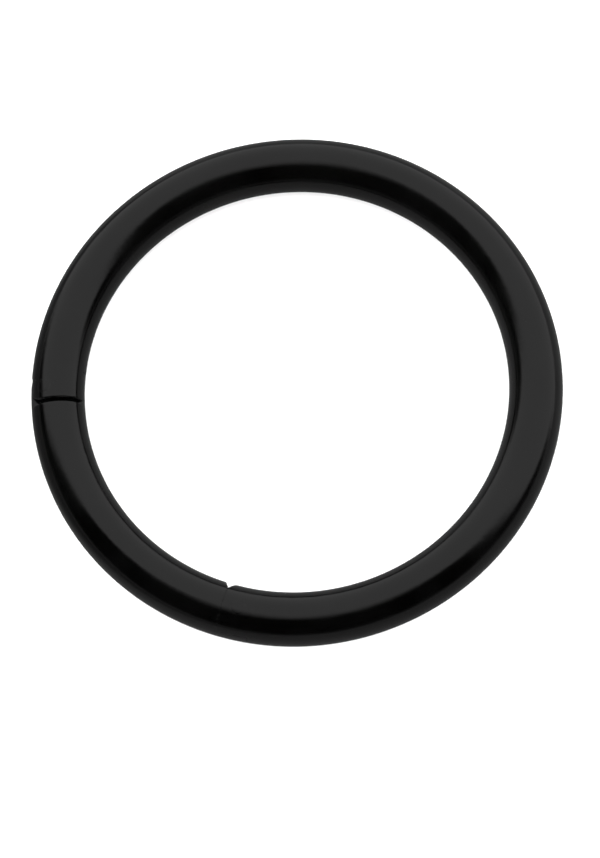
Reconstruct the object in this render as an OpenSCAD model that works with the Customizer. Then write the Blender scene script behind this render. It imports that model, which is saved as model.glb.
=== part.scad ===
// Hinged segment ring in round wire: a ring body, a gate that swings out on a cross pin,
// and a snap latch on a second cross pin.
// Millimetres. The closed ring lies flat: its axis is +Z and its centre is the origin.
// Angles are counterclockwise from +X, seen from +Z.

/* [Ring] */
// Clear inside diameter of the closed ring
ring_inner_d = 9.5; // [8:0.1:16]
// Diameter of the round wire
wire_d = 1.2; // [1.0:0.05:2.0]

/* [Gate] */
// Direction of the seam at the hinge end of the gate
hinge_seam_angle = 183.5; // [120:0.5:240]
// Arc of the ring that the gate covers
gate_arc = 69; // [40:1:110]
// Gap between the ring body's hinge cheeks and the gate's shoulder
hinge_gap = 0.04; // [0.02:0.01:0.08]
// Gap between the gate's free end and the ring body
latch_gap = 0.02; // [0.01:0.01:0.05]

/* [Hinge] */
// Diameter of the hinge pin
hinge_pin_d = 0.3; // [0.2:0.02:0.4]
// Radius of the rounded knuckle about the hinge pin
knuckle_r = 0.33; // [0.26:0.01:0.4]
// Thickness of the gate's hinge tongue
hinge_tongue_t = 0.4; // [0.3:0.02:0.5]

/* [Latch] */
// Diameter of the latch pin
latch_pin_d = 0.3; // [0.2:0.02:0.36]
// Distance from the seam to the latch pin's axis
latch_pin_set = 0.36; // [0.3:0.01:0.44]
// Length of the gate's latch tongue, from the seam to its tip
latch_tongue_len = 0.7; // [0.64:0.02:0.9]
// Thickness of the gate's latch tongue
latch_tongue_t = 0.4; // [0.3:0.02:0.5]
// Depth of the solid inner wall that closes the latch slot towards the ring's centre
latch_wall = 0.3; // [0.2:0.01:0.34]
// How much narrower than the pin the mouth of the tongue's notch is
snap = 0.02; // [0:0.005:0.03]
// Depth of the notch that breaks the inner edge at the latch seam
edge_notch_depth = 0.2; // [0.05:0.01:0.22]
// Width of that notch at the wire's surface
edge_notch_w = 0.28; // [0.1:0.01:0.35]

/* [Fits] */
// Radial running clearance of a tongue on its pin
pin_clearance = 0.015; // [0.01:0.005:0.03]
// Clearance between a tongue and its slot, on each side
side_clearance = 0.02; // [0.01:0.005:0.04]
// Clearance between a tongue's tip or inner edge and its slot
tip_clearance = 0.03; // [0.02:0.005:0.05]

/* [Hidden] */
$fn = 96;

wire_r = wire_d / 2;
ring_r = (ring_inner_d + wire_d) / 2;
inner_r = ring_inner_d / 2;
outer_r = ring_r + wire_r;
// Long enough to pass right through or past the whole ring
reach = 2 * outer_r;
latch_seam_angle = hinge_seam_angle + gate_arc;

// The knuckle's circle reaches this far past the wire, whose own surface then rounds it off
knuckle_over = 0.003;
// Hinge pin, in the hinge seam's frame: X outwards, Y towards the gate
hinge_pin_y = -(knuckle_r + hinge_gap);
hinge_pin_x = sqrt(pow(outer_r + knuckle_over - knuckle_r, 2) - pow(hinge_pin_y, 2));
hinge_slot_t = hinge_tongue_t + 2 * side_clearance;
hinge_slot_depth = knuckle_r - hinge_pin_y + tip_clearance;

// Latch pin, in the latch seam's frame: X outwards, Y away from the gate
latch_pin_x = ring_r;
latch_slot_t = latch_tongue_t + 2 * side_clearance;
latch_slot_depth = latch_tongue_len + tip_clearance;
latch_slot_x = inner_r + latch_wall;
latch_tongue_x = latch_slot_x + tip_clearance;
latch_nose_r = latch_tongue_len - latch_pin_set;

// Both pins in the ring's frame, and the way the latch pin leaves the tongue as the gate opens
hinge_pin_at = in_ring(hinge_seam_angle, hinge_pin_x, hinge_pin_y);
latch_pin_at = in_ring(latch_seam_angle, latch_pin_x, latch_pin_set);
swing_arm = latch_pin_at - hinge_pin_at;
notch_angle = atan2(swing_arm[1], swing_arm[0]) + 90;

function in_ring(seam, x, y) =
    [x * cos(seam) - y * sin(seam), x * sin(seam) + y * cos(seam)];

// The whole closed ring as one round wire
module wire_ring() {
    rotate_extrude()
        translate([ring_r, 0])
            circle(r = wire_r);
}

// Stands its children's outline up through the middle of the wire, in a seam's frame
module plate(seam, thickness) {
    rotate([0, 0, seam])
        translate([0, 0, -thickness / 2])
            linear_extrude(height = thickness)
                children();
}

// The wedge between the two seams, moved along by a distance at each of them
module gate_wedge(at_hinge, at_latch) {
    intersection() {
        rotate([0, 0, hinge_seam_angle])
            translate([-reach, at_hinge, -reach / 2])
                cube([2 * reach, reach, reach]);
        rotate([0, 0, latch_seam_angle])
            translate([-reach, at_latch - reach, -reach / 2])
                cube([2 * reach, reach, reach]);
    }
}

// A hole or pin across the wire, along Z
module cross_pin(at, d) {
    translate([at[0], at[1], -reach / 2])
        cylinder(d = d, h = reach);
}

// Plan of the hinge tongue: round about the pin outside, straight towards the ring's centre
module hinge_tongue_plan() {
    translate([hinge_pin_x, hinge_pin_y])
        circle(r = knuckle_r);
    translate([inner_r - wire_r, hinge_pin_y - knuckle_r])
        square([hinge_pin_x - inner_r + wire_r, 2 * knuckle_r - hinge_pin_y]);
    translate([hinge_pin_x, hinge_pin_y])
        square([wire_d, knuckle_r - hinge_pin_y]);
}

// What comes off each cheek so that the gate's shoulder can swing round its outer corner
module cheek_relief_plan() {
    difference() {
        translate([hinge_pin_x, hinge_pin_y])
            square([wire_d, wire_d]);
        translate([hinge_pin_x, hinge_pin_y])
            circle(r = knuckle_r);
    }
}

// Plan of the latch tongue, before its notch: its tip is straight outside the pin, and its
// nose inside the pin is round about it
module latch_tongue_plan() {
    translate([latch_tongue_x, -wire_r])
        square([wire_d, wire_r + latch_pin_set]);
    translate([latch_pin_x, latch_pin_set])
        square([wire_d, latch_nose_r]);
    intersection() {
        translate([latch_pin_x, latch_pin_set])
            circle(r = latch_nose_r);
        translate([latch_tongue_x, latch_pin_set])
            square([wire_d, latch_nose_r]);
    }
}

// The tongue's notch: a round seat for the pin, and a mouth along the gate's path
module latch_seat() {
    cross_pin(latch_pin_at, latch_pin_d + 2 * pin_clearance);
    translate([latch_pin_at[0], latch_pin_at[1], -latch_slot_t / 2])
        rotate([0, 0, notch_angle])
            translate([0, -(latch_pin_d - snap) / 2, 0])
                cube([wire_d, latch_pin_d - snap, latch_slot_t]);
}

// The small notch that breaks the inner edge on both sides of the latch seam
module edge_notch_plan() {
    // The sides of the notch run on inwards, past the wire's surface
    past = 2;
    polygon([
        [inner_r + edge_notch_depth, 0],
        [inner_r - (past - 1) * edge_notch_depth, past * edge_notch_w / 2],
        [inner_r - (past - 1) * edge_notch_depth, -past * edge_notch_w / 2]
    ]);
}

module ring_body() {
    color([0.05, 0.05, 0.055])
        difference() {
            wire_ring();
            gate_wedge(-hinge_gap, 0);
            plate(hinge_seam_angle, hinge_slot_t)
                translate([inner_r - wire_r, -hinge_slot_depth])
                    square([2 * wire_d, 2 * hinge_slot_depth]);
            plate(hinge_seam_angle, reach)
                cheek_relief_plan();
            plate(latch_seam_angle, latch_slot_t)
                translate([latch_slot_x, -latch_slot_depth])
                    square([wire_d, 2 * latch_slot_depth]);
            plate(latch_seam_angle, reach)
                edge_notch_plan();
            cross_pin(hinge_pin_at, hinge_pin_d);
            cross_pin(latch_pin_at, latch_pin_d);
        }
}

module gate_segment() {
    color([0.09, 0.09, 0.1])
        difference() {
            intersection() {
                wire_ring();
                union() {
                    gate_wedge(0, -latch_gap);
                    plate(hinge_seam_angle, hinge_tongue_t)
                        hinge_tongue_plan();
                    plate(latch_seam_angle, latch_tongue_t)
                        latch_tongue_plan();
                }
            }
            plate(latch_seam_angle, reach)
                edge_notch_plan();
            cross_pin(hinge_pin_at, hinge_pin_d + 2 * pin_clearance);
            latch_seat();
        }
}

module hinge_pin() {
    color([0.25, 0.25, 0.27])
        intersection() {
            wire_ring();
            cross_pin(hinge_pin_at, hinge_pin_d);
        }
}

module latch_pin() {
    color([0.25, 0.25, 0.27])
        intersection() {
            wire_ring();
            cross_pin(latch_pin_at, latch_pin_d);
        }
}

ring_body();
gate_segment();
hinge_pin();
latch_pin();
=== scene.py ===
"""Looks of a hinged segment ring in round wire, with a gate that swings out and a snap latch.

Every piece is a closed skin worked out in millimetres and put into its mesh in metres, at the
CAD model's own place. The ring lies flat: its axis is +Z, its centre the origin. Each of the four
wire ends is worked out in its seam's frame: X outwards from the ring's axis, S along the wire from
the seam's plane into the ring body, Z up. All skins are symmetric about Z = 0, so only their upper
halves are worked out.
"""
import math

import bmesh
import bpy
import numpy as np
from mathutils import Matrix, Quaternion, Vector


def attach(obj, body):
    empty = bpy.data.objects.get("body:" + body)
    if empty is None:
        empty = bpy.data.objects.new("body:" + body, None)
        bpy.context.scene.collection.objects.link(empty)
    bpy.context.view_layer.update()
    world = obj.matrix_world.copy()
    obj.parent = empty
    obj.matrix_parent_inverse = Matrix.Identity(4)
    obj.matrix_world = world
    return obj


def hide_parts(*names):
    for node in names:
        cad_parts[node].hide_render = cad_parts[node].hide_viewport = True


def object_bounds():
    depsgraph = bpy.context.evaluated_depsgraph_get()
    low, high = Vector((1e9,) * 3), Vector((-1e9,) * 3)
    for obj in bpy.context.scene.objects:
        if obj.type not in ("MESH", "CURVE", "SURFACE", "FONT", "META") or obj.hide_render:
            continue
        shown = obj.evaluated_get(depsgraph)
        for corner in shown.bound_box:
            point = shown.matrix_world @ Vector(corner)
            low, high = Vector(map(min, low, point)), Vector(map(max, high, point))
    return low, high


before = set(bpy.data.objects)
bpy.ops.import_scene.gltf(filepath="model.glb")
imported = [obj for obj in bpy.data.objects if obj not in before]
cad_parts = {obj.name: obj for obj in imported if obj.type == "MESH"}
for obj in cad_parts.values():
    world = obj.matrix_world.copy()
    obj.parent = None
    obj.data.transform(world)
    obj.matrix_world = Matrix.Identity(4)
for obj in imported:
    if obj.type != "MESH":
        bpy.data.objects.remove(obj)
cad_low, cad_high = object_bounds()

# ---------------------------------------------------------------- sizes, in millimetres
MM = 0.001
DEG = math.pi / 180
WIRE_R = min(-cad_low.z, cad_high.z) / MM
RING_R = min(-cad_low.x, cad_high.x, -cad_low.y, cad_high.y) / MM - WIRE_R
INNER_R = RING_R - WIRE_R
HINGE_SEAM = 183.5 * DEG
LATCH_SEAM = 252.5 * DEG

# Gaps at the seams. The gate's shoulder is set back from the hinge seam, so that its line shows
# wider than the CAD model's gap, and the latch closes tighter than in the CAD model
HINGE_GAP = 0.04
SHOULDER = -0.05
LATCH_GAP = 0.006

# Half thicknesses of the tongues and of the slots that hold them, and the clearance at their tips
TONGUE = 0.2
SIDE_CLEAR = 0.01
SLOT = TONGUE + SIDE_CLEAR
TIP_CLEAR = 0.015
PIN_R = 0.15
PIN_CLEAR = 0.015

# Hinge: the knuckle is round about the pin, and the wire's own surface cuts it off outside
KNUCKLE_R = 0.33
KNUCKLE_OVER = 0.003
HINGE_PIN_S = KNUCKLE_R + HINGE_GAP
HINGE_PIN_X = math.sqrt((RING_R + WIRE_R + KNUCKLE_OVER - KNUCKLE_R) ** 2 - HINGE_PIN_S ** 2)
HINGE_TIP = HINGE_PIN_S + KNUCKLE_R
FORK_DEPTH = HINGE_TIP + TIP_CLEAR

# Latch: a notched tongue in a slot that is closed towards the ring's centre
LATCH_PIN_X = RING_R
LATCH_PIN_S = 0.36
LATCH_TIP = 0.7
NOSE_R = LATCH_TIP - LATCH_PIN_S
SLOT_DEPTH = LATCH_TIP + TIP_CLEAR
LATCH_WALL = 0.3
SLOT_X = INNER_R + LATCH_WALL
TONGUE_X = SLOT_X + TIP_CLEAR
SNAP_HALF = 0.01
MOUTH_HALF = PIN_R - SNAP_HALF
NOTCH_DEPTH = 0.2
NOTCH_HALF_WIDTH = 0.14
NOTCH_SLOPE = NOTCH_HALF_WIDTH / NOTCH_DEPTH
NOTCH_TURNS = 30

# Rounding of the edges that were broken before coating
FORK_EDGE = 0.045
SHOULDER_EDGE = 0.012
LATCH_EDGE = 0.0025
PIN_EDGE = 0.003
# The rounding of an end fades out over so many of its radii above a slot or tongue
FADE = 3

# Half the side of the finely divided patch round a pin's hole, and the tube angle where the patch
# round the latch pin's hole begins
HINGE_PATCH = 0.2
LATCH_PATCH = 0.21
LATCH_PATCH_ANGLE = 68 * DEG

# How finely skins are divided, in cells
HOLE_CELLS = 12
TONGUE_HOLE_CELLS = 14
BORE_CELLS = 4
WALL_CELLS = 6
LATCH_END_CELLS = 4
RING_CELLS = 290
GATE_CELLS = 70
PIN_SIDES = 48
PIN_END_CELLS = 7
PIN_RIM_CELLS = 4
PIN_SIDE_CELLS = 8

# Points that fall in one cube of this side, in millimetres, are one point. The cubes are shifted by
# a share of it, which keeps their faces off round coordinates
WELD = 2e-5
WELD_SHIFT = 0.37
TINY = 1e-9

# Faces that meet at more than these angles have a worn edge, or a sharp one
WORN_FROM = 9 * DEG
SHARP_FROM = 32 * DEG


# ---------------------------------------------------------------- points and rows of points
def spread(stops, counts):
    """Numbers from the first stop to the last, evenly spaced between each two by its count."""
    parts = [np.linspace(a, b, n, endpoint=False) for a, b, n in zip(stops, stops[1:], counts)]
    return np.concatenate(parts + [[stops[-1]]])


def turned(p, seam, way=1):
    """Points of a seam's frame in the ring's frame. S runs anticlockwise if way is 1 and clockwise
    if it is -1."""
    x, y = p[..., 0], way * p[..., 1]
    c, s = math.cos(seam), math.sin(seam)
    return np.stack([c * x - s * y, s * x + c * y, p[..., 2]], -1)


def plan_circle(rho, s):
    """Plan points at distance rho from the ring's axis and s from the seam's plane."""
    return np.stack([np.sqrt(rho ** 2 - s ** 2), s + 0 * rho], -1)


def reach_of(phi):
    """Distance from the ring's axis to the wire's surface at tube angle phi: 0 outside, 180 inside."""
    return RING_R + WIRE_R * np.cos(phi)


def at_height(plan, z):
    """Plan points at a height, or at one height each."""
    return np.concatenate([plan[..., :2], np.broadcast_to(z, plan.shape[:-1])[..., None]], -1)


def on_wire(s, phi):
    """Points of the wire's surface by distance from the seam's plane and tube angle."""
    s, phi = np.broadcast_arrays(s, phi)
    return at_height(plan_circle(reach_of(phi), s), WIRE_R * np.sin(phi))


def lift(x, y):
    """Height of the wire's surface over plan points: a circle's height over its chord."""
    return np.sqrt(np.maximum(WIRE_R ** 2 - (np.hypot(x, y) - RING_R) ** 2, 0))


def wire_normal(p, phi):
    """Outward normals of the wire's surface: out from the ring's axis by cos phi, up by sin phi."""
    out = p[..., :2] / np.hypot(p[..., 0], p[..., 1])[..., None]
    return np.concatenate([out * np.cos(phi)[..., None], np.sin(phi)[..., None]], -1)


def between(first, last, steps):
    """Rows of points in even steps from one row to another."""
    t = np.linspace(0, 1, steps + 1)[:, None, None]
    return first + (last - first) * t


def levels(plan, heights):
    """A vertical wall: the same plan points at each height."""
    return np.stack([at_height(plan, z) for z in heights])


def rolled(edge, n, e, radius, steps):
    """Rounds an edge between walls with outward normals n and e: the arc of a ball that touches
    both, which turns from n to e about a centre radius * (n + e) / (1 + n.e) below the edge."""
    dot = (n * e).sum(-1, keepdims=True)
    angle = np.arccos(np.clip(dot, -1, 1))
    b = np.linspace(0, 1, steps + 1)[:, None, None]
    arc = (np.sin((1 - b) * angle) * n + np.sin(b * angle) * e) / np.sin(angle)
    return edge + radius[:, None] * (arc - (n + e) / (1 + dot))


def rounded_end(plan, wall, phi, face, radius, steps=5):
    """Rows that round an end's edge, from the wire's surface to the end's upright wall. The
    rounding fades out where the wire's surface comes down to the face of a slot or tongue."""
    z = WIRE_R * np.sin(phi)
    edge = at_height(plan, z)
    fade = np.clip((z - face) / (FADE * radius), 0, 1)
    return rolled(edge, wire_normal(edge, phi), at_height(wall, 0.0), radius * fade, steps)


# ---------------------------------------------------------------- outlines in plan
def knuckle_crossing(rho, side):
    """Where circles about the ring's axis cross the knuckle, by the law of cosines: side -1 gives
    the crossing nearer the seam, 1 the one further away."""
    far = math.hypot(HINGE_PIN_X, HINGE_PIN_S)
    c = np.clip((rho ** 2 + far ** 2 - KNUCKLE_R ** 2) / (2 * rho * far), -1, 1)
    a = math.atan2(HINGE_PIN_S, HINGE_PIN_X) + side * np.arccos(c)
    return np.stack([rho * np.cos(a), rho * np.sin(a)], -1)


def cheek_outline(rho):
    """End of the fork's cheeks and its wall's normals: straight inside the pin, round outside."""
    line, arc = plan_circle(rho, HINGE_GAP), knuckle_crossing(rho, -1)
    straight = (line[:, 0] <= HINGE_PIN_X)[:, None]
    out = (arc - [HINGE_PIN_X, HINGE_PIN_S]) / KNUCKLE_R
    return np.where(straight, line, arc), np.where(straight, [0.0, -1.0], out)


def tip_outline(rho):
    """Tip of the hinge tongue: straight inside the pin, round outside."""
    line, arc = plan_circle(rho, HINGE_TIP), knuckle_crossing(rho, 1)
    return np.where((line[:, 0] <= HINGE_PIN_X)[:, None], line, arc)


def notched_outline(rho, gap):
    """An end at the latch seam, S away from it, and its wall's normals. It is straight, but for
    the slanting side of the V notch that breaks the inner edge. S depends on X there and X on S,
    so they are worked out in turn until they settle."""
    top = INNER_R + NOTCH_DEPTH
    s = np.full_like(rho, gap)
    for _ in range(NOTCH_TURNS):
        s = np.maximum(gap, NOTCH_SLOPE * (top - np.sqrt(rho ** 2 - s ** 2)))
    slant = np.array([-NOTCH_SLOPE, -1.0]) / math.hypot(NOTCH_SLOPE, 1)
    return plan_circle(rho, s), np.where((s > gap + TINY)[:, None], slant, [0.0, -1.0])


# ---------------------------------------------------------------- skins
def window_near(grid, centre, rows, columns):
    """A window of a grid with so many rows and columns, about a point in plan."""
    d = np.hypot(grid[..., 0] - centre[0], grid[..., 1] - centre[1])
    i, j = np.unravel_index(np.argmin(d), d.shape)
    i, j = i - rows // 2, j - columns // 2
    return i, i + rows, j, j + columns


def round_window(grid, window, centre, radius, height, start=None, rings=5):
    """Fills a window of a grid down to a round hole: plan points go straight from the window's
    edge to points evenly spaced round the circle, and heights follow the surface."""
    i0, i1, j0, j1 = window
    loop = np.concatenate([grid[i0, j0:j1], grid[i0:i1, j1], grid[i1, j1:j0:-1],
                           grid[i1:i0:-1, j0], grid[i0:i0 + 1, j0]])
    first, second = loop[0, :2] - centre, loop[1, :2] - centre
    if start is None:
        start = math.atan2(first[1], first[0])
    turn = np.sign(first[0] * second[1] - first[1] * second[0])
    a = start + turn * np.linspace(0, 2 * np.pi, len(loop))
    circle = centre + radius * np.stack([np.cos(a), np.sin(a)], -1)
    plan = loop[:, :2] + (circle - loop[:, :2]) * np.linspace(0, 1, rings + 1)[:, None, None]
    filled = at_height(plan, height(plan[..., 0], plan[..., 1]))
    filled[0] = loop
    return filled, start


def flat(z):
    """The height function of a level face."""
    return lambda x, y: np.full_like(x, z)


class Skin:
    """A closed surface gathered from grids of points, whose edges meet point for point."""

    def __init__(self):
        self.points, self.quads, self.count = [], [], 0

    def add(self, grid, seam=0.0, way=1, window=None):
        """Adds a grid of points, all but the faces in its window."""
        rows, columns = grid.shape[:2]
        keep = np.ones((rows - 1, columns - 1), bool)
        if window:
            keep[window[0]:window[1], window[2]:window[3]] = False
        at = np.arange(rows * columns).reshape(rows, columns) + self.count
        self.quads.append(np.stack([at[:-1, :-1], at[1:, :-1], at[1:, 1:], at[:-1, 1:]], -1)[keep])
        self.points.append(turned(grid, seam, way).reshape(-1, 3))
        self.count += rows * columns

    def closed(self):
        """Points, quads and triangles of the upper half and its mirror image, with points that
        fall together made one and faces that have no area left out."""
        half, quads = np.concatenate(self.points), np.concatenate(self.quads)
        points = np.concatenate([half, half * [1, 1, -1]])
        quads = np.concatenate([quads, quads[:, ::-1] + len(half)])
        cell = np.floor(points / WELD + WELD_SHIFT).astype(np.int64)
        first, back = np.unique(cell, axis=0, return_index=True, return_inverse=True)[1:]
        quads = back.reshape(-1)[quads]
        same = quads == np.roll(quads, -1, 1)
        others = np.array([[j for j in range(4) if j != i] for i in range(4)])
        one = same.sum(1) == 1
        triangles = np.take_along_axis(quads[one], others[same[one].argmax(1)], 1)
        pinched = (triangles == np.roll(triangles, -1, 1)).any(1)
        return points[first], quads[~same.any(1)], triangles[~pinched]


def edge_distance(points, mesh, furthest=0.4, batch=2000):
    """Each point's distance to the nearest edge that can wear: the root of p.p + c.c - 2 p.c,
    least over all such edges' ends c, and no more than a furthest distance."""
    bm = bmesh.new()
    bm.from_mesh(mesh)
    ends = {v.index for e in bm.edges if e.calc_face_angle(0) > WORN_FROM for v in e.verts}
    bm.free()
    corner = points[sorted(ends)]
    squares = [((part ** 2).sum(1)[:, None] + (corner ** 2).sum(1) - 2 * part @ corner.T).min(1)
               for part in np.array_split(points, 1 + len(points) // batch)]
    return np.minimum(np.sqrt(np.maximum(np.concatenate(squares), 0)), furthest)


def piece(name, skin, body, node, material):
    """Makes a skin a mesh piece that rides on a body and stands for its CAD node."""
    points, quads, triangles = skin.closed()
    mesh = bpy.data.meshes.new(name)
    mesh.from_pydata((points * MM).tolist(), [], quads.tolist() + triangles.tolist())
    bm = bmesh.new()
    bm.from_mesh(mesh)
    bmesh.ops.recalc_face_normals(bm, faces=bm.faces)
    bm.to_mesh(mesh)
    bm.free()
    mesh.polygons.foreach_set("use_smooth", np.ones(len(mesh.polygons), bool))
    mesh.set_sharp_from_angle(angle=SHARP_FROM)
    wear = mesh.attributes.new("edge_distance", "FLOAT", "POINT")
    wear.data.foreach_set("value", edge_distance(points, mesh).astype(np.float32))
    mesh.materials.append(material)
    ob = bpy.data.objects.new(name, mesh)
    bpy.context.scene.collection.objects.link(ob)
    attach(ob, body)
    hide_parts(node)


# ---------------------------------------------------------------- ring body
def fork(skin, phi, low, high):
    """The ring body's hinge end. Its cheek is the wire over the slot: a surface grid from the end's
    outline back to the slot's end wall, the same grid let down to the slot's side, and the hole
    for the pin through both."""
    p = phi[low:high + 1]
    plan, wall = cheek_outline(reach_of(p))
    rows = rounded_end(plan, wall, p, SLOT, FORK_EDGE)
    foot = at_height(rows[-1], SLOT)
    skin.add(rows, HINGE_SEAM, -1)
    skin.add(between(rows[-1], foot, WALL_CELLS), HINGE_SEAM, -1)
    hole_from, hole_to = HINGE_PIN_S - HINGE_PATCH, HINGE_PIN_S + HINGE_PATCH
    s = spread([0.1, hole_from, hole_to, FORK_DEPTH], [2, HOLE_CELLS, 3])
    share = ((s - HINGE_GAP) / (FORK_DEPTH - HINGE_GAP))[:, None]
    top = np.concatenate([rows[:1], on_wire(plan[:, 1] + (FORK_DEPTH - plan[:, 1]) * share, p)])
    side = at_height(top, SLOT)
    side[0] = foot
    centre = np.array([HINGE_PIN_X, HINGE_PIN_S])
    row = 3
    column = int(np.argmin(abs(reach_of(p) - HINGE_PIN_X - HINGE_PATCH)))
    window = (row, row + HOLE_CELLS, column, column + HOLE_CELLS)
    skin.add(top, HINGE_SEAM, -1, window)
    skin.add(side, HINGE_SEAM, -1, window)
    above, start = round_window(top, window, centre, PIN_R, lift)
    below, start = round_window(side, window, centre, PIN_R, flat(SLOT), start)
    skin.add(above, HINGE_SEAM, -1)
    skin.add(below, HINGE_SEAM, -1)
    skin.add(between(above[-1], below[-1], BORE_CELLS), HINGE_SEAM, -1)
    across = plan_circle(reach_of(p), FORK_DEPTH)[:, 0]
    share = (across - across[-1]) / (across[0] - across[-1])
    outside = on_wire(FORK_DEPTH, phi[:low + 1])[:, None]
    inside = on_wire(FORK_DEPTH, np.pi - phi[:low + 1])[:, None]
    skin.add(inside + (outside - inside) * share[None, :, None], HINGE_SEAM, -1)


def latch_slot(skin, phi, low, wall_at):
    """The ring body's latch end: the wire's surface to the V notch, the end wall, and a slot that
    is open outside and closed by a wall of metal inside, with the hole for the latch pin."""
    p = phi[low:]
    k = wall_at - low
    plan, wall = notched_outline(reach_of(p), 0.0)
    rows = rounded_end(plan, wall, p, SLOT, LATCH_EDGE, LATCH_END_CELLS)
    skin.add(rows, LATCH_SEAM)
    heights = WIRE_R * np.sin(phi[:low + 1])[::-1]
    end_wall(skin, rows[-1], k, SLOT, reach_of(p[:k + 1]), heights)
    hole_from, hole_to = LATCH_PIN_S - LATCH_PATCH, LATCH_PIN_S + LATCH_PATCH
    s = spread([0, 0.015, 0.04, hole_from, hole_to, SLOT_DEPTH], [1, 1, 2, HOLE_CELLS, 3])[:, None]
    share = (reach_of(p[:k + 1]) - SLOT_X) / (reach_of(p[0]) - SLOT_X)
    top = np.concatenate([rows[:1], on_wire(plan[:, 1] * (1 - s[1:] / SLOT_DEPTH) + s[1:], p)])
    outer = plan_circle(reach_of(p[0]), s)[..., 0]
    side = np.stack([SLOT_X + share * (outer - SLOT_X), s + 0 * share, SLOT + 0 * s * share], -1)
    centre = np.array([LATCH_PIN_X, LATCH_PIN_S])
    row = 4
    column = int(np.argmin(abs(p - LATCH_PATCH_ANGLE)))
    window = (row, row + HOLE_CELLS, column, column + HOLE_CELLS)
    column = int(np.argmin(abs(side[row, :, 0] - LATCH_PIN_X - LATCH_PATCH)))
    opening = (row, row + HOLE_CELLS, column, column + HOLE_CELLS)
    skin.add(top, LATCH_SEAM, 1, window)
    skin.add(side, LATCH_SEAM, 1, opening)
    above, start = round_window(top, window, centre, PIN_R, lift)
    below, start = round_window(side, opening, centre, PIN_R, flat(SLOT), start)
    skin.add(above, LATCH_SEAM)
    skin.add(below, LATCH_SEAM)
    skin.add(between(above[-1], below[-1], BORE_CELLS), LATCH_SEAM)
    skin.add(levels(np.concatenate([0 * s + SLOT_X, s], 1), heights), LATCH_SEAM)
    outside = on_wire(SLOT_DEPTH, phi[:low + 1])[:, None]
    inside = outside * [0, 1, 1] + [SLOT_X, 0, 0]
    skin.add(inside + (outside - inside) * share[None, :, None], LATCH_SEAM)


def end_wall(skin, top, split, face, across, heights):
    """The upright wall of an end at the latch seam. From its rounded edge it goes down to the slot's
    or tongue's face, and beyond the split, where the metal is whole, on down to the middle."""
    foot = at_height(top[:split + 1], face)
    foot[:, 0] = across
    skin.add(between(top[:split + 1], foot, WALL_CELLS), LATCH_SEAM)
    whole = top[split:]
    middle = at_height(whole, face * whole[:, 2] / whole[0, 2])
    middle[0] = foot[-1]
    skin.add(between(whole, middle, WALL_CELLS), LATCH_SEAM)
    skin.add(np.stack([middle * [1, 1, z / face] for z in heights]), LATCH_SEAM)
    return foot


def tube_between(skin, phi, first, last, shares):
    """The wire between two rows of points, in the ring's frame: a tube whose ring angle goes
    evenly from one row to the other."""
    start, stop = (np.arctan2(row[:, 1], row[:, 0]) % (2 * np.pi) for row in (first, last))
    stop = np.where(stop < start, stop + 2 * np.pi, stop)
    theta = start + (stop - start) * shares[:, None]
    reach, z = reach_of(phi), WIRE_R * np.sin(phi) + 0 * theta
    rows = np.stack([reach * np.cos(theta), reach * np.sin(theta), z], -1)
    rows[0], rows[-1] = first, last
    skin.add(rows)


def tube_angles(face_angle, wall_angle):
    """Tube angles from the outer edge over the top to the inner edge, with one at each corner of
    the ends: the slot's or tongue's face, the latch slot's inner wall, the notch's apex and the
    face again. Also gives the places of the first face, the wall and the second face."""
    notch_angle = math.acos((INNER_R + NOTCH_DEPTH - RING_R) / WIRE_R)
    stops = [0, face_angle, np.pi / 3, np.pi / 2, wall_angle, notch_angle, np.pi - face_angle, np.pi]
    counts = [6, 11, 8, 8, 5, 9, 6]
    return spread(stops, counts), sum(counts[:1]), sum(counts[:4]), sum(counts[:6])


def ring_body():
    """The long arc of wire, with its fork and its latch slot."""
    skin = Skin()
    slot_angle = math.asin(SLOT / WIRE_R)
    wall_angle = math.acos((SLOT_X - RING_R) / WIRE_R)
    phi, low, wall_at, high = tube_angles(slot_angle, wall_angle)
    fork(skin, phi, low, high)
    latch_slot(skin, phi, low, wall_at)
    first = turned(on_wire(SLOT_DEPTH, phi), LATCH_SEAM)
    last = turned(on_wire(FORK_DEPTH, phi), HINGE_SEAM, -1)
    tube_between(skin, phi, first, last, np.linspace(0, 1, RING_CELLS + 1))
    return skin


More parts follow.
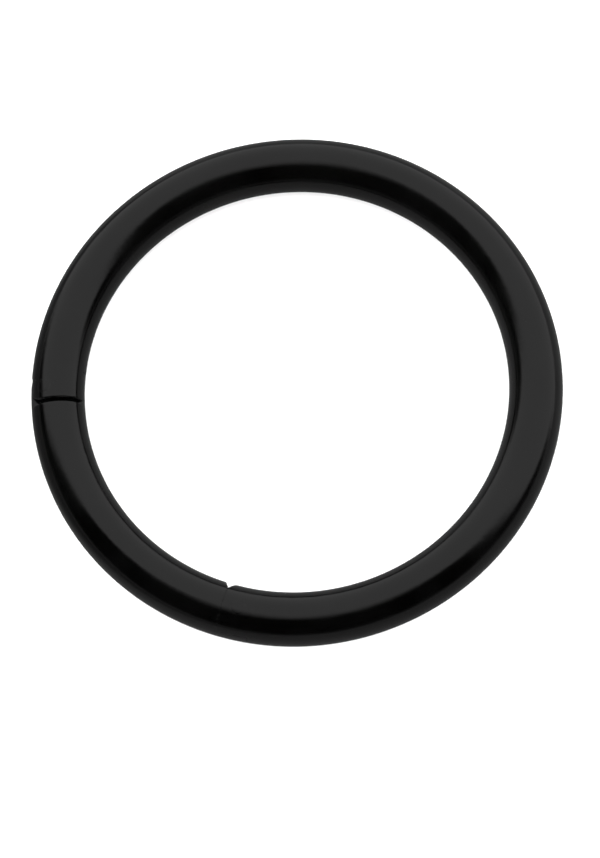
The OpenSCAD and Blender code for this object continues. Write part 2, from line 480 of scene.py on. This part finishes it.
# ---------------------------------------------------------------- gate segment
def hinge_tongue(skin, phi, low, high):
    """The gate's hinge end: a rounded shoulder, and a tongue whose faces are level, whose edges
    are the wire's own surface, and whose tip is round about the pin. Returns the shoulder's row."""
    p = phi[low:high + 1]
    rho = reach_of(p)
    heights = WIRE_R * np.sin(phi[:low + 1])[::-1]
    shoulder = plan_circle(rho, SHOULDER)
    rows = rounded_end(shoulder, np.tile([0.0, 1.0], (len(p), 1)), p, TONGUE, SHOULDER_EDGE)
    skin.add(rows, HINGE_SEAM, -1)
    skin.add(between(rows[-1], at_height(shoulder, TONGUE), WALL_CELLS), HINGE_SEAM, -1)
    # Rows at these shares of the way from the shoulder to the tip: more of them beside the hole
    share = spread([0, 0.14, 0.92, 1], [2, TONGUE_HOLE_CELLS, 2])[:, None]
    tip = tip_outline(rho)
    face = at_height(plan_circle(rho, SHOULDER + (tip[:, 1] - SHOULDER) * share), TONGUE)
    centre = np.array([HINGE_PIN_X, HINGE_PIN_S])
    window = window_near(face, centre, TONGUE_HOLE_CELLS, TONGUE_HOLE_CELLS)
    skin.add(face, HINGE_SEAM, -1, window)
    filled = round_window(face, window, centre, PIN_R + PIN_CLEAR, flat(TONGUE))[0]
    skin.add(filled, HINGE_SEAM, -1)
    skin.add(levels(filled[-1], heights), HINGE_SEAM, -1)
    edges = []
    for q in (phi[:low + 1], np.pi - phi[:low + 1]):
        end = tip_outline(reach_of(q))
        skin.add(on_wire(SHOULDER + (end[:, 1] - SHOULDER) * share, q), HINGE_SEAM, -1)
        edges.append(at_height(end[::-1], heights)[:, None])
    skin.add(np.concatenate([edges[0], levels(tip, heights), edges[1]], 1), HINGE_SEAM, -1)
    return rows[0]


def mouth_direction():
    """The way the latch pin leaves the tongue as the gate opens, in the latch seam's frame: square
    to the line from the hinge pin to the latch pin, towards the ring's centre."""
    hinge = turned(np.array([HINGE_PIN_X, HINGE_PIN_S, 0.0]), HINGE_SEAM, -1)
    arm = turned(turned(np.array([LATCH_PIN_X, LATCH_PIN_S, 0.0]), LATCH_SEAM) - hinge, -LATCH_SEAM)
    return np.array([-arm[1], arm[0]]) / math.hypot(arm[0], arm[1])


def latch_tongue(skin, phi, low, wall_at):
    """The gate's latch end. Its tongue is drawn by rays from the pin's axis, which run from the
    notch's wall (round about the pin, then straight along the mouth) out to the tongue's outline.
    Returns the end's row on the wire's surface."""
    p = phi[low:]
    k = wall_at - low
    heights = WIRE_R * np.sin(phi[:low + 1])[::-1]
    plan, wall = notched_outline(reach_of(p), LATCH_GAP)
    away = np.array([1.0, -1.0])
    rows = rounded_end(plan * away, wall * away, p, TONGUE, LATCH_EDGE, LATCH_END_CELLS)
    skin.add(rows, LATCH_SEAM)
    foot = end_wall(skin, rows[-1], k, TONGUE, plan[:k + 1, 0], heights)
    pin = np.array([LATCH_PIN_X, LATCH_PIN_S])
    mouth = mouth_direction()
    seamward = np.array([-mouth[1], mouth[0]])
    lip = pin + MOUTH_HALF * seamward
    lip = lip + mouth * (TONGUE_X - lip[0]) / mouth[0]
    nose = mouth * math.sqrt(NOSE_R ** 2 - MOUTH_HALF ** 2) - MOUTH_HALF * seamward
    share = np.linspace(0, 1, 11)[:, None]
    inner_edge = lip + (foot[-1, :2] - lip) * share
    s = spread([-LATCH_GAP, 0.03, LATCH_TIP], [1, 23])
    outer_edge = plan_circle(reach_of(phi[low]), s)
    tip = outer_edge[-1] + (np.array([LATCH_PIN_X, LATCH_TIP]) - outer_edge[-1]) * share
    a = np.linspace(np.pi / 2, math.atan2(nose[1], nose[0]) % (2 * np.pi), 13)
    round_nose = pin + NOSE_R * np.stack([np.cos(a), np.sin(a)], -1)
    outline = np.concatenate([inner_edge, foot[-2::-1, :2], outer_edge[1:], tip[1:], round_nose[1:]])
    ray = outline - pin
    length = np.hypot(ray[:, 0], ray[:, 1])
    ray = ray / length[:, None]
    off = np.maximum(abs(ray[:, 0] * mouth[1] - ray[:, 1] * mouth[0]), TINY)
    seat = PIN_R + PIN_CLEAR
    notch = np.where(ray @ mouth > 0, np.minimum(length, np.maximum(seat, MOUTH_HALF / off)), seat)
    along = notch + (length - notch) * np.linspace(0, 1, 9)[:, None]
    face = at_height(pin + ray * along[..., None], TONGUE)
    skin.add(face, LATCH_SEAM)
    for line in (face[0], inner_edge, round_nose):
        skin.add(levels(line, heights), LATCH_SEAM)
    corner = on_wire(LATCH_TIP, phi[low::-1])[:, None]
    skin.add(np.concatenate([corner, levels(tip, heights)], 1), LATCH_SEAM)
    skin.add(on_wire(s[:, None], phi[:low + 1]), LATCH_SEAM)
    return rows[0]


def gate_segment():
    """The short arc of wire, with its hinge tongue and its notched latch tongue."""
    skin = Skin()
    tongue_angle = math.asin(TONGUE / WIRE_R)
    wall_angle = math.acos((math.hypot(TONGUE_X, LATCH_GAP) - RING_R) / WIRE_R)
    phi, low, wall_at, high = tube_angles(tongue_angle, wall_angle)
    first, last = on_wire(SHOULDER, phi), on_wire(-LATCH_GAP, phi)
    first[low:high + 1] = hinge_tongue(skin, phi, low, high)
    last[low:] = latch_tongue(skin, phi, low, wall_at)
    first, last = turned(first, HINGE_SEAM, -1), turned(last, LATCH_SEAM)
    shares = spread([0, 0.003, 0.012, 0.988, 0.997, 1], [1, 1, GATE_CELLS, 1, 1])
    tube_between(skin, phi, first, last, shares)
    return skin


# ---------------------------------------------------------------- cross pins
def cross_pin(x, s, seam, way):
    """A pin across the wire: circles about its axis give its end, cut flush with the wire, then a
    quarter round gives its rim, and its side goes straight down."""
    skin = Skin()
    a = np.linspace(0, 2 * np.pi, PIN_SIDES + 1)
    bend = np.linspace(0, np.pi / 2, PIN_RIM_CELLS + 1)[1:]
    core = PIN_R - PIN_EDGE
    level = np.linspace(0, core, PIN_END_CELLS + 1)
    radius = np.concatenate([level, core + PIN_EDGE * np.sin(bend)])[:, None]
    sunk = np.concatenate([0 * level, PIN_EDGE * (1 - np.cos(bend))])[:, None]
    px, ps = x + radius * np.cos(a), s + radius * np.sin(a)
    end = np.stack([px, ps, lift(px, ps) - sunk], -1)
    skin.add(end, seam, way)
    skin.add(between(end[-1], at_height(end[-1], 0.0), PIN_SIDE_CELLS), seam, way)
    return skin


# ---------------------------------------------------------------- finishes
COAT_IOR = 1.4

# Patterns of the coat: patches to the millimetre, and between which noise values a pattern comes
# in. The drift is how much of X and Y the drawing lines change with
LINE_SCALE, LINE_DRIFT = 26.0, 0.03
PEEL_SCALE = 5.0
HAZE_SCALE, HAZE_RANGE = 0.9, (0.35, 0.7)
SPECK_SCALE, SPECK_RANGE = 34.0, (0.73, 0.8)
WEAR_SCALE, WEAR_RANGE = 9.0, (0.4, 0.62)

# What each pattern adds to the roughness, and to the height in steps of the bump's distance
HAZE_DULL, SPECK_DULL, LINE_DULL, WEAR_DULL = 0.09, 0.15, 0.04, 0.03
LINE_HEIGHT, WEAR_HEIGHT = 0.12, -0.4
SPECK_SHARE = 0.5
BUMP_STEP = 0.001 * MM


def node(tree, kind, values=(), **settings):
    """A new node, with its settings made and then its inputs set, or linked if given a socket."""
    made = tree.nodes.new("ShaderNode" + kind)
    for key, value in settings.items():
        setattr(made, key, value)
    for key, value in dict(values).items():
        if isinstance(value, bpy.types.NodeSocket):
            tree.links.new(value, made.inputs[key])
        else:
            made.inputs[key].default_value = value
    return made


def calc(tree, operation, *values):
    """The result of a Math node."""
    return node(tree, "Math", enumerate(values), operation=operation).outputs[0]


def noise(tree, at, scale, detail, **more):
    """Soft random patches, so many to the unit of the place given."""
    values = {"Vector": at, "Scale": scale, "Detail": detail}
    return node(tree, "TexNoise", {**values, **more}, noise_dimensions="4D").outputs["Fac"]


def ramp(tree, value, start, stop, low=0.0, high=1.0):
    """Low up to the start, high from the stop on, and a smooth rise between."""
    values = {"Value": value, "From Min": start, "From Max": stop, "To Min": low, "To Max": high}
    return node(tree, "MapRange", values, interpolation_type="SMOOTHSTEP").outputs[0]


def blend(tree, share, first, second):
    """One colour turning into another."""
    return node(tree, "Mix", {0: share, 6: first, 7: second}, data_type="RGBA").outputs[2]


def thin_coat():
    """The surface of a thin hard coat on polished drawn wire, as a node group. Distances are in
    millimetres. It puts out the coat's colour, roughness and normal."""
    group = bpy.data.node_groups.new("thin_coat", "ShaderNodeTree")
    for name, kind in (("Coat", "NodeSocketColor"), ("Haze", "NodeSocketColor"),
                       ("Worn", "NodeSocketColor"), ("Wear Reach", "NodeSocketFloat"),
                       ("Polish", "NodeSocketFloat"), ("Grain", "NodeSocketFloat")):
        group.interface.new_socket(name=name, in_out="INPUT", socket_type=kind)
    for name, kind in (("Colour", "NodeSocketColor"), ("Roughness", "NodeSocketFloat"),
                       ("Normal", "NodeSocketVector")):
        group.interface.new_socket(name=name, in_out="OUTPUT", socket_type=kind)
    given = group.nodes.new("NodeGroupInput").outputs
    result = group.nodes.new("NodeGroupOutput").inputs

    at = node(group, "TexCoord").outputs["Object"]
    at = node(group, "VectorMath", {0: at, "Scale": 1 / MM}, operation="SCALE").outputs[0]
    x, y, z = node(group, "SeparateXYZ", {0: at}).outputs
    reach = calc(group, "SQRT", calc(group, "ADD", calc(group, "MULTIPLY", x, x),
                                     calc(group, "MULTIPLY", y, y)))

    # Drawing lines run along the wire: fine across it, drawn out by the slow change of X and Y
    slow_x, slow_y = (calc(group, "MULTIPLY", value, LINE_DRIFT) for value in (x, y))
    across = node(group, "CombineXYZ", {0: reach, 1: z, 2: slow_x}).outputs[0]
    lines = noise(group, across, LINE_SCALE, 3.0, W=slow_y)
    peel = noise(group, at, PEEL_SCALE, 2.0)
    haze = ramp(group, noise(group, at, HAZE_SCALE, 5.0), *HAZE_RANGE)
    specks = ramp(group, noise(group, at, SPECK_SCALE, 1.0), *SPECK_RANGE)

    # Wear: full at a sharp edge, gone past its reach, and broken up by patches
    edge = node(group, "Attribute", attribute_name="edge_distance").outputs["Fac"]
    patches = ramp(group, noise(group, at, WEAR_SCALE, 4.0), *WEAR_RANGE)
    wear = calc(group, "MULTIPLY", ramp(group, edge, given["Wear Reach"], 0.0), patches)

    colour = blend(group, haze, given["Coat"], given["Haze"])
    colour = blend(group, calc(group, "MULTIPLY", specks, SPECK_SHARE), colour, given["Worn"])
    group.links.new(blend(group, wear, colour, given["Worn"]), result["Colour"])
    dull = calc(group, "MULTIPLY_ADD", haze, HAZE_DULL, given["Polish"])
    dull = calc(group, "MULTIPLY_ADD", specks, SPECK_DULL, dull)
    dull = calc(group, "MULTIPLY_ADD", lines, LINE_DULL, dull)
    group.links.new(calc(group, "MULTIPLY_ADD", wear, WEAR_DULL, dull), result["Roughness"])
    height = calc(group, "MULTIPLY_ADD", lines, LINE_HEIGHT, peel)
    height = calc(group, "MULTIPLY_ADD", wear, WEAR_HEIGHT, height)
    height = calc(group, "MULTIPLY", height, given["Grain"])
    bump = node(group, "Bump", {"Height": height, "Strength": 1.0, "Distance": BUMP_STEP})
    group.links.new(bump.outputs["Normal"], result["Normal"])
    return group


def finish_of(name, group, values):
    """A material that takes its colour, roughness and normal from the thin coat's group."""
    made = bpy.data.materials.new(name)
    made.use_nodes = True
    tree = made.node_tree
    shader = tree.nodes["Principled BSDF"]
    shader.inputs["IOR"].default_value = COAT_IOR
    coat = node(tree, "Group", values, node_tree=group)
    for key, socket in (("Colour", "Base Color"), ("Roughness", "Roughness"), ("Normal", "Normal")):
        tree.links.new(coat.outputs[key], shader.inputs[socket])
    return made


def grey(value):
    """A grey as a colour."""
    return (value, value, value, 1.0)


# ---------------------------------------------------------------- studio
CAMERA_AZIMUTH = 8.4
CAMERA_ELEVATION = 71.2
CAMERA_ROLL = -9.0
CAMERA_DISTANCE = 20 * RING_R * MM
LENS = 200.8
SHIFT_X, SHIFT_Y = 0.0041, -0.0466

# Strength of the surroundings to the eye, as soft light, and in the coat's gloss: bright and dark
PAPER = 1.2
SOFT_LIGHT = 2.8
BRIGHT = 1.06
DARK = 0.006

# The dark side: how far its middle is turned from the camera's azimuth, and the angles between
# which it comes in, from none to full: from the side, from below and from above. It is wider by an
# angle near the horizon, which comes in between another two heights
DARK_TURN = 22.5 * DEG
DARK_ASIDE = (98 * DEG, 76 * DEG)
DARK_FROM_BELOW = (-26 * DEG, 18 * DEG)
DARK_FROM_ABOVE = (95 * DEG, 62 * DEG)
WIDER = 24 * DEG
WIDER_BELOW = (36 * DEG, 6 * DEG)

# The floor: half its side in metres, its own tone, and its tones in the coat's gloss on the +X
# side and the -X side of a soft border. These darker gloss tones are painted shade: the floor shows
# shaded only in the ring's reflections, and more shaded on the -X side
FLOOR_HALF = 0.4
FLOOR_TONE = 0.95
GLOSS_SHADE_TONE = 0.12
GLOSS_SHADE_TONE_FAR = 0.055
GLOSS_BORDER = (-5 * MM, -8 * MM)


def set_camera():
    """A long lens on the ring's centre. It stands back from -Y, turned about +Z by its azimuth."""
    a, e = math.radians(CAMERA_AZIMUTH), math.radians(CAMERA_ELEVATION)
    back = Vector((math.sin(a) * math.cos(e), -math.cos(a) * math.cos(e), math.sin(e)))
    lens = bpy.data.cameras.new("camera")
    lens.lens = LENS
    lens.shift_x, lens.shift_y = SHIFT_X, SHIFT_Y
    lens.clip_start, lens.clip_end = 1 * MM, 10.0
    ob = bpy.data.objects.new("camera", lens)
    ob.location = back * CAMERA_DISTANCE
    ob.rotation_mode = "QUATERNION"
    roll = Quaternion((0, 0, 1), math.radians(CAMERA_ROLL))
    ob.rotation_quaternion = (-back).to_track_quat("-Z", "Y") @ roll
    bpy.context.scene.collection.objects.link(ob)
    bpy.context.scene.camera = ob


def lay_floor():
    """A pale sheet under the ring, which shows dimmer in the coat's gloss than to the eye: painted
    shade in the ring's reflections, darker still towards -X.
    """
    half = FLOOR_HALF
    corners = [(-half, -half, cad_low.z), (half, -half, cad_low.z),
               (half, half, cad_low.z), (-half, half, cad_low.z)]
    mesh = bpy.data.meshes.new("floor")
    mesh.from_pydata(corners, [], [(0, 1, 2, 3)])
    made = bpy.data.materials.new("pale_floor")
    made.use_nodes = True
    tree = made.node_tree
    gloss = node(tree, "LightPath").outputs["Is Glossy Ray"]
    x = node(tree, "SeparateXYZ", {0: node(tree, "TexCoord").outputs["Object"]}).outputs[0]
    # Painted shade: the floor's tone as the coat reflects it, darker on the -X side of the border
    shaded = blend(tree, ramp(tree, x, *GLOSS_BORDER), grey(GLOSS_SHADE_TONE), grey(GLOSS_SHADE_TONE_FAR))
    tone = blend(tree, gloss, grey(FLOOR_TONE), shaded)
    sheet = node(tree, "BsdfDiffuse", {"Color": tone})
    tree.links.new(sheet.outputs[0], tree.nodes["Material Output"].inputs["Surface"])
    mesh.materials.append(made)
    ob = bpy.data.objects.new("floor", mesh)
    bpy.context.scene.collection.objects.link(ob)


def light_studio():
    """Soft even light all round. In the coat's gloss the studio is bright but for a wide dark side
    over the camera, from the horizon up to near the zenith, with soft edges."""
    world = bpy.data.worlds.new("soft_studio")
    world.use_nodes = True
    world.cycles.sampling_method = "NONE"
    tree = world.node_tree
    at = node(tree, "TexCoord").outputs["Generated"]
    turn = DARK_TURN - math.radians(CAMERA_AZIMUTH)
    facing = node(tree, "VectorRotate", {"Vector": at, "Angle": turn}, rotation_type="Z_AXIS").outputs[0]
    x, y, z = node(tree, "SeparateXYZ", {0: facing}).outputs
    height = calc(tree, "ARCSINE", z)
    aside = calc(tree, "ABSOLUTE", calc(tree, "ARCTAN2", x, calc(tree, "MULTIPLY", y, -1.0)))
    aside = calc(tree, "SUBTRACT", aside, ramp(tree, height, *WIDER_BELOW, 0.0, WIDER))
    high = calc(tree, "MULTIPLY", ramp(tree, height, *DARK_FROM_BELOW),
                ramp(tree, height, *DARK_FROM_ABOVE))
    dark = calc(tree, "MULTIPLY", ramp(tree, aside, *DARK_ASIDE), high)
    seen = ramp(tree, dark, 0.0, 1.0, BRIGHT, DARK)
    path = node(tree, "LightPath").outputs
    seen = ramp(tree, path["Is Diffuse Ray"], 0.0, 1.0, seen, SOFT_LIGHT)
    seen = ramp(tree, path["Is Camera Ray"], 0.0, 1.0, seen, PAPER)
    tree.links.new(seen, tree.nodes["Background"].inputs["Strength"])
    tree.nodes["Background"].inputs["Color"].default_value = grey(1.0)
    bpy.context.scene.world = world
    bpy.context.scene.view_settings.view_transform = "Standard"


set_camera()
lay_floor()
light_studio()

coat_group = thin_coat()
black_coat = finish_of("black_coat", coat_group, {
    "Coat": grey(0.0003), "Haze": grey(0.0008), "Worn": grey(0.003),
    "Wear Reach": 0.03, "Polish": 0.1, "Grain": 2.5})
pin_coat = finish_of("pin_coat", coat_group, {
    "Coat": grey(0.0005), "Haze": grey(0.001), "Worn": grey(0.004),
    "Wear Reach": 0.015, "Polish": 0.12, "Grain": 1.5})

piece("ring_arc", ring_body(), "ring", "ring_body", black_coat)
piece("gate_arc", gate_segment(), "gate", "gate_segment", black_coat)
piece("hinge_cross_pin", cross_pin(HINGE_PIN_X, HINGE_PIN_S, HINGE_SEAM, -1), "ring", "hinge_pin",
      pin_coat)
piece("latch_cross_pin", cross_pin(LATCH_PIN_X, LATCH_PIN_S, LATCH_SEAM, 1), "ring", "latch_pin",
      pin_coat)
